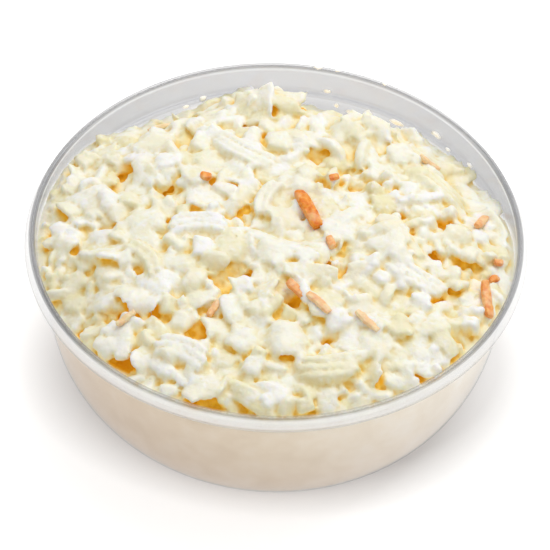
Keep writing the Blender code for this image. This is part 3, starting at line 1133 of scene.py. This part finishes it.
# Painted light: the gaps glow a warm yellow, though nothing in them is a lamp.
gap_painted_glow = add(
    tree,
    "ShaderNodeMapRange",
    {"From Min": 0.2, "From Max": 0.76, "To Min": 0.14, "To Max": 0.0},
    {"Value": lit.outputs["Value"]},
)
grain = add(
    tree,
    "ShaderNodeTexNoise",
    {"Scale": 1 / (0.9 * MM), "Detail": 5.0, "Roughness": 0.62},
    {"Vector": place.outputs["Object"]},
)
relief = add(
    tree,
    "ShaderNodeBump",
    {"Strength": 0.5, "Distance": 0.35 * MM},
    {"Height": grain.outputs["Fac"]},
)
body = add(
    tree,
    "ShaderNodeBsdfPrincipled",
    {
        "Roughness": 0.42,
        "IOR": 1.42,
        "Subsurface Weight": 0.45,
        "Subsurface Radius": (1.0, 0.8, 0.4),
        "Subsurface Scale": 1.6 * MM,
        "Emission Color": linear("#FFD02A"),
    },
    {
        "Base Color": with_fold_painted_shade.outputs[2],
        "Normal": relief.outputs["Normal"],
        "Emission Strength": gap_painted_glow.outputs["Result"],
    },
)
add(tree, "ShaderNodeOutputMaterial", links={"Surface": body.outputs["BSDF"]})

# %% Show the cabbage
skin.name = "joined_cabbage"
for label, value in (("open", skin_open), ("tone", skin_tone), ("ridge", skin_ridge / MM)):
    skin.attributes.new(label, "FLOAT", "POINT").data.foreach_set("value", value.astype(np.float32))
skin.shade_smooth()
skin.materials.clear()
skin.materials.append(cabbage)
cabbage_heap = bpy.data.objects.new("cabbage_heap", skin)
scene.collection.objects.link(cabbage_heap)

# %% [markdown]
# ## Drops of dressing
#
# Spooning leaves a few drops and smears of dressing on the bare sheet at the back and on the lip.
# Each is a small uneven blob that lies flat on the sheet, and each glows a little with painted light.

# %% Drops on the sheet
# direction in degrees, height, radius, how much longer than high.
DROPS = np.array(
    [
        (111.0, 37.0, 0.9, 1.4), (116.0, 36.2, 0.6, 1.8), (78.0, 37.8, 0.7, 1.9),
        (75.0, 35.0, 0.7, 1.0), (70.0, 33.8, 1.0, 2.2), (65.0, 34.6, 0.5, 1.0),
        (62.5, 34.4, 1.0, 1.2), (57.5, 36.0, 0.8, 2.6), (54.0, 35.0, 0.9, 1.5),
        (163.5, 36.4, 0.9, 1.2), (168.0, 36.6, 0.8, 1.5), (158.0, 37.4, 0.7, 1.3),
        (46.0, 37.9, 0.9, 1.9), (41.0, 37.0, 0.6, 1.4), (33.0, 37.2, 0.8, 1.2),
        (81.0, 44.0, 0.6, 1.8), (76.0, 44.0, 0.6, 1.3), (63.5, 44.0, 0.6, 1.5),
    ]
)
drop_shapes = flakes(
    len(DROPS), DROPS[:, 2] * MM, DROPS[:, 2] * 0.9 * MM, 0.05, 6,
    np.array([0.55, 1.0, 0.8]), np.array([0.9, 0.0, -0.7]), ragged=0.12, around=12,
)
drops = []
for points, (direction, height, _, stretch) in zip(drop_shapes, DROPS):
    angle = math.radians(direction)
    outward = Vector((math.cos(angle), math.sin(angle), 0.0))
    on_lip = height > 43
    radius = COLLAR_TOP_RADIUS + BEAD_RADIUS if on_lip else inside_radius(height * MM)
    normal = Vector((0, 0, 1)) if on_lip else -outward
    sideways = outward.cross(Vector((0, 0, 1)))
    frame_of_drop = np.array([sideways, normal.cross(sideways), normal])
    centre = np.array([*(outward * radius)[:2], height * MM])
    drops.append((points * (stretch, 1, 1)) @ frame_of_drop + centre)
cream, tree = new_material("dressing_film")
place = add(tree, "ShaderNodeTexCoord")
herbs = add(
    tree,
    "ShaderNodeTexNoise",
    {"Scale": 1 / (0.8 * MM), "Detail": 3.0},
    {"Vector": place.outputs["Object"]},
)
whites = colour_ramp(tree, herbs.outputs["Fac"], [(0.3, "#FBF5E4"), (0.5, "#FFFDF6"), (0.7, "#FFFFFF")])
relief = add(
    tree,
    "ShaderNodeBump",
    {"Strength": 0.4, "Distance": 0.15 * MM},
    {"Height": herbs.outputs["Fac"]},
)
# Painted light: the drops glow faintly in their own colour, which keeps them white in the shade.
body = add(
    tree,
    "ShaderNodeBsdfPrincipled",
    {"Roughness": 0.3, "IOR": 1.42, "Emission Strength": 0.3},
    {
        "Base Color": whites.outputs["Color"],
        "Emission Color": whites.outputs["Color"],
        "Normal": relief.outputs["Normal"],
    },
)
add(tree, "ShaderNodeOutputMaterial", links={"Surface": body.outputs["BSDF"]})
dressing = make_piece("dressing_drop", np.array(drops), closed_faces(3, 12), cream, {})

# %% [markdown]
# ## The core
#
# Under the chopped pieces the slaw is packed tight, and along the wall it is pressed flat against
# the clear sheet. The core is one closed surface: its top lies in the bed under the pieces, its
# side reaches just into the sheet so that no gap shows behind the clear wall, and its underside lies
# on the base.

# %% Core surface
CORE_AROUND = 360
TOP_RINGS, SIDE_RINGS, BASE_RINGS = 30, 96, 8


def core_rings():
    """Rings from the top's middle out to the wall, down it, and in over the base."""
    angle = np.linspace(0, 2 * math.pi, CORE_AROUND, endpoint=False)
    cosine, sine = np.cos(angle), np.sin(angle)
    edge = bed_level(HEAP_REACH * cosine, HEAP_REACH * sine) - 0.9 * MM
    edge_radius = inside_radius(edge) + PRESS
    share = np.linspace(0.01, 1, TOP_RINGS)[:, None]
    top_r = share * edge_radius
    top_z = bed_level(top_r * cosine, top_r * sine) - 0.9 * MM
    top_z = top_z + (edge - top_z[-1]) * share**30
    low = WALL_START_HEIGHT + SHEET / 2
    drop = np.linspace(0, 1, SIDE_RINGS + 1)[1:, None]
    side_z = edge + (low - edge) * drop
    side_r = inside_radius(side_z) + PRESS
    under = np.linspace(1, 0.02, BASE_RINGS + 1)[1:, None]
    under_r = under * side_r[-1]
    under_z = np.interp(under_r, inner_line[:40, 0], inner_line[:40, 1]) - PRESS
    r = np.vstack([top_r, side_r, under_r])
    z = np.vstack([top_z, side_z, under_z])
    return np.stack([r * cosine, r * sine, z], axis=-1)


core_points = closed_points(core_rings()[None])
on_wall = np.zeros(TOP_RINGS + SIDE_RINGS + BASE_RINGS)
on_wall[TOP_RINGS + 1 :] = 1.0
on_wall = np.concatenate([[0.0], np.repeat(on_wall, CORE_AROUND), [1.0]])

# %% Core material
pressed, tree = new_material("pressed_slaw")
place = add(tree, "ShaderNodeTexCoord")
wall_share = add(tree, "ShaderNodeAttribute", {"attribute_name": "on_wall"})
cells = add(
    tree,
    "ShaderNodeTexVoronoi",
    {"feature": "SMOOTH_F1", "Scale": 1 / (7 * MM), "Smoothness": 0.6},
    {"Vector": place.outputs["Object"]},
)
mottle = add(
    tree,
    "ShaderNodeTexNoise",
    {"Scale": 1 / (6 * MM), "Detail": 4.0, "Roughness": 0.55},
    {"Vector": place.outputs["Object"]},
)
wall_colour = colour_ramp(
    tree,
    mottle.outputs["Fac"],
    [(0.3, "#F5EAD8"), (0.5, "#FBF2E2"), (0.7, "#FFF9EE")],
)
# Painted shade: the core's top, seen only down the gaps, is a dark ochre.
core_gap_painted_shade = colour_ramp(tree, mottle.outputs["Fac"], [(0.3, "#B37A1A"), (0.5, "#D29A35"), (0.7, "#E2B75A")])
height = add(tree, "ShaderNodeSeparateXYZ", links={"Vector": place.outputs["Object"]})
# Painted shade: the pressed slaw is darker towards the bottom of the wall.
lower_painted_shade = add(
    tree,
    "ShaderNodeMapRange",
    {"From Min": 4 * MM, "From Max": 32 * MM, "To Min": 1.0, "To Max": 0.0},
    {"Value": height.outputs["Z"]},
)
wall_with_painted_shade = add(
    tree,
    "ShaderNodeMix",
    {"data_type": "RGBA", "blend_type": "MULTIPLY", 7: linear("#D0C7C4")},
    {0: lower_painted_shade.outputs["Result"], 6: wall_colour.outputs["Color"]},
)
# Painted shade: the wall is darker on the left, away from the lamp, and white on the right.
across = add(
    tree,
    "ShaderNodeMapRange",
    {"From Min": -48 * MM, "From Max": 48 * MM},
    {"Value": height.outputs["X"]},
)
side_painted_shade = colour_ramp(
    tree, across.outputs["Result"], [(0.0, "#E2D3C4"), (0.5, "#EFE6DA"), (1.0, "#FFFFFF")]
)
wall_with_painted_shade = add(
    tree,
    "ShaderNodeMix",
    {"data_type": "RGBA", "blend_type": "MULTIPLY", 0: 1.0},
    {6: wall_with_painted_shade.outputs[2], 7: side_painted_shade.outputs["Color"]},
)
core_colour = add(
    tree,
    "ShaderNodeMix",
    {"data_type": "RGBA"},
    {0: wall_share.outputs["Fac"], 6: core_gap_painted_shade.outputs["Color"], 7: wall_with_painted_shade.outputs[2]},
)
relief = add(
    tree,
    "ShaderNodeBump",
    {"Strength": 0.4, "Distance": 0.6 * MM},
    {"Height": cells.outputs["Distance"]},
)
body = add(
    tree,
    "ShaderNodeBsdfPrincipled",
    {"Roughness": 0.5, "IOR": 1.42},
    {"Base Color": core_colour.outputs[2], "Normal": relief.outputs["Normal"]},
)
add(tree, "ShaderNodeOutputMaterial", links={"Surface": body.outputs["BSDF"]})

core = make_piece(
    "slaw_core",
    core_points,
    closed_faces(TOP_RINGS + SIDE_RINGS + BASE_RINGS, CORE_AROUND),
    pressed,
    {"on_wall": on_wall},
)

# %% [markdown]
# ## Grated carrot
#
# Raw carrot is a saturated orange with paler fibres along it. Where the dressing covers a shred it
# shows through as a pale apricot.

# %% Carrot material
carrot, tree = new_material("grated_carrot_dressed")
place = add(tree, "ShaderNodeTexCoord")
coated = add(tree, "ShaderNodeAttribute", {"attribute_name": "coated"})
fibres = add(
    tree,
    "ShaderNodeTexNoise",
    {"Scale": 1 / (1.2 * MM), "Detail": 4.0},
    {"Vector": place.outputs["Object"]},
)
flesh = colour_ramp(tree, fibres.outputs["Fac"], [(0.3, "#E06C08"), (0.5, "#F08E1E"), (0.7, "#F9AE50")])
smears = add(
    tree,
    "ShaderNodeTexNoise",
    {"Scale": 1 / (2.5 * MM), "Detail": 3.0},
    {"Vector": place.outputs["Object"]},
)
patches = add(
    tree,
    "ShaderNodeMapRange",
    {"From Min": 0.45, "From Max": 0.6},
    {"Value": smears.outputs["Fac"]},
)
cover = add(
    tree,
    "ShaderNodeMath",
    {"operation": "MULTIPLY_ADD", 1: 0.35},
    {0: patches.outputs["Result"], 2: coated.outputs["Fac"]},
)
film = add(
    tree,
    "ShaderNodeMix",
    {"data_type": "RGBA", 7: linear("#FDE3B6")},
    {0: cover.outputs["Value"], 6: flesh.outputs["Color"]},
)
relief = add(
    tree,
    "ShaderNodeBump",
    {"Strength": 0.5, "Distance": 0.3 * MM},
    {"Height": fibres.outputs["Fac"]},
)
body = add(
    tree,
    "ShaderNodeBsdfPrincipled",
    {
        "Roughness": 0.38,
        "IOR": 1.42,
        "Subsurface Weight": 0.25,
        "Subsurface Radius": (1.0, 0.5, 0.2),
        "Subsurface Scale": 1.2 * MM,
    },
    {"Base Color": film.outputs[2], "Normal": relief.outputs["Normal"]},
)
add(tree, "ShaderNodeOutputMaterial", links={"Surface": body.outputs["BSDF"]})
carrots = make_piece("carrot_shred", shreds, strip_faces, carrot, {"coated": shred_table[:, 5:6]})
add_modifier(carrots, "SUBSURF", {"levels": 2, "render_levels": 2, "subdivision_type": "SIMPLE"})
add_modifier(carrots, "SMOOTH", {"factor": 0.5, "iterations": 2})
torn = bpy.data.textures.new("torn", "CLOUDS")
torn.noise_scale = 1.3 * MM
torn.noise_depth = 3
add_modifier(carrots, "DISPLACE", {"strength": 0.55 * MM, "mid_level": 0.5, "texture": torn})
carrots.data = finished_mesh(carrots)
carrots.modifiers.clear()

# %% [markdown]
# ## Floor and light
#
# The cup stands on a plain white table in a studio. A broad lamp overhead, a little behind the
# cup and to its right, gives soft shadows, and a pale surround fills them. The table also glows:
# painted light that bounces about the room. Close round the cup that glow is weaker, a painted shadow.

# %% Floor and light
bpy.ops.mesh.primitive_plane_add(size=6.0)
floor = bpy.context.object
floor.name = "floor"
white_table, tree = new_material("white_table")
place = add(tree, "ShaderNodeTexCoord")
stretched = add(
    tree,
    "ShaderNodeMapping",
    {"Location": (-4 * MM, 0, 0), "Scale": (0.85, 1.16, 1.0)},
    {"Vector": place.outputs["Object"]},
)
away = add(tree, "ShaderNodeVectorMath", {"operation": "LENGTH"}, {0: stretched.outputs["Vector"]})
# Painted shadow: the table's glow falls from 0.62 to 0.2 close round the cup's foot.
floor_glow_painted_shadow = add(
    tree,
    "ShaderNodeMapRange",
    {"From Min": 43 * MM, "From Max": 59 * MM, "To Min": 0.2, "To Max": 0.62},
    {"Value": away.outputs["Value"]},
)
body = add(
    tree,
    "ShaderNodeBsdfPrincipled",
    {
        "Base Color": linear("#DEDEDE"),
        "Roughness": 0.7,
        "Specular IOR Level": 0.2,
        "Emission Color": linear("#FFFFFF"),
    },
    {"Emission Strength": floor_glow_painted_shadow.outputs["Result"]},
)
add(tree, "ShaderNodeOutputMaterial", links={"Surface": body.outputs["BSDF"]})
floor.data.materials.append(white_table)

world = bpy.data.worlds.new("studio")
scene.world = world
world.use_nodes = True
world.node_tree.nodes["Background"].inputs["Color"].default_value = linear("#FFFFFF")
world.node_tree.nodes["Background"].inputs["Strength"].default_value = 0.56


def softbox(name, place, size, power):
    """A square area lamp that looks at the cup."""
    lamp = bpy.data.lights.new(name, "AREA")
    lamp.size = size
    lamp.energy = power
    made = bpy.data.objects.new(name, lamp)
    scene.collection.objects.link(made)
    made.location = place
    made.rotation_euler = (lip_centre - Vector(place)).to_track_quat("-Z", "Y").to_euler()
    return made


softbox("overhead", (0.3, 0.42, 1.0), 1.0, 7.6)
scene.view_settings.view_transform = "Standard"

# %% [markdown]
# ## Hand over
#
# Each piece rides on the cup's one body, and the imported solids are hidden.

# %% Hand over
for piece in (cup, core, carrots, cabbage_heap, dressing):
    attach(piece, "root")
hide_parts("cup")
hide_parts("coleslaw")

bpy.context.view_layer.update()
top = skin_points[np.argmax(skin_points[:, 2])]
print("highest point in mm:", (1000 * top).round(1))
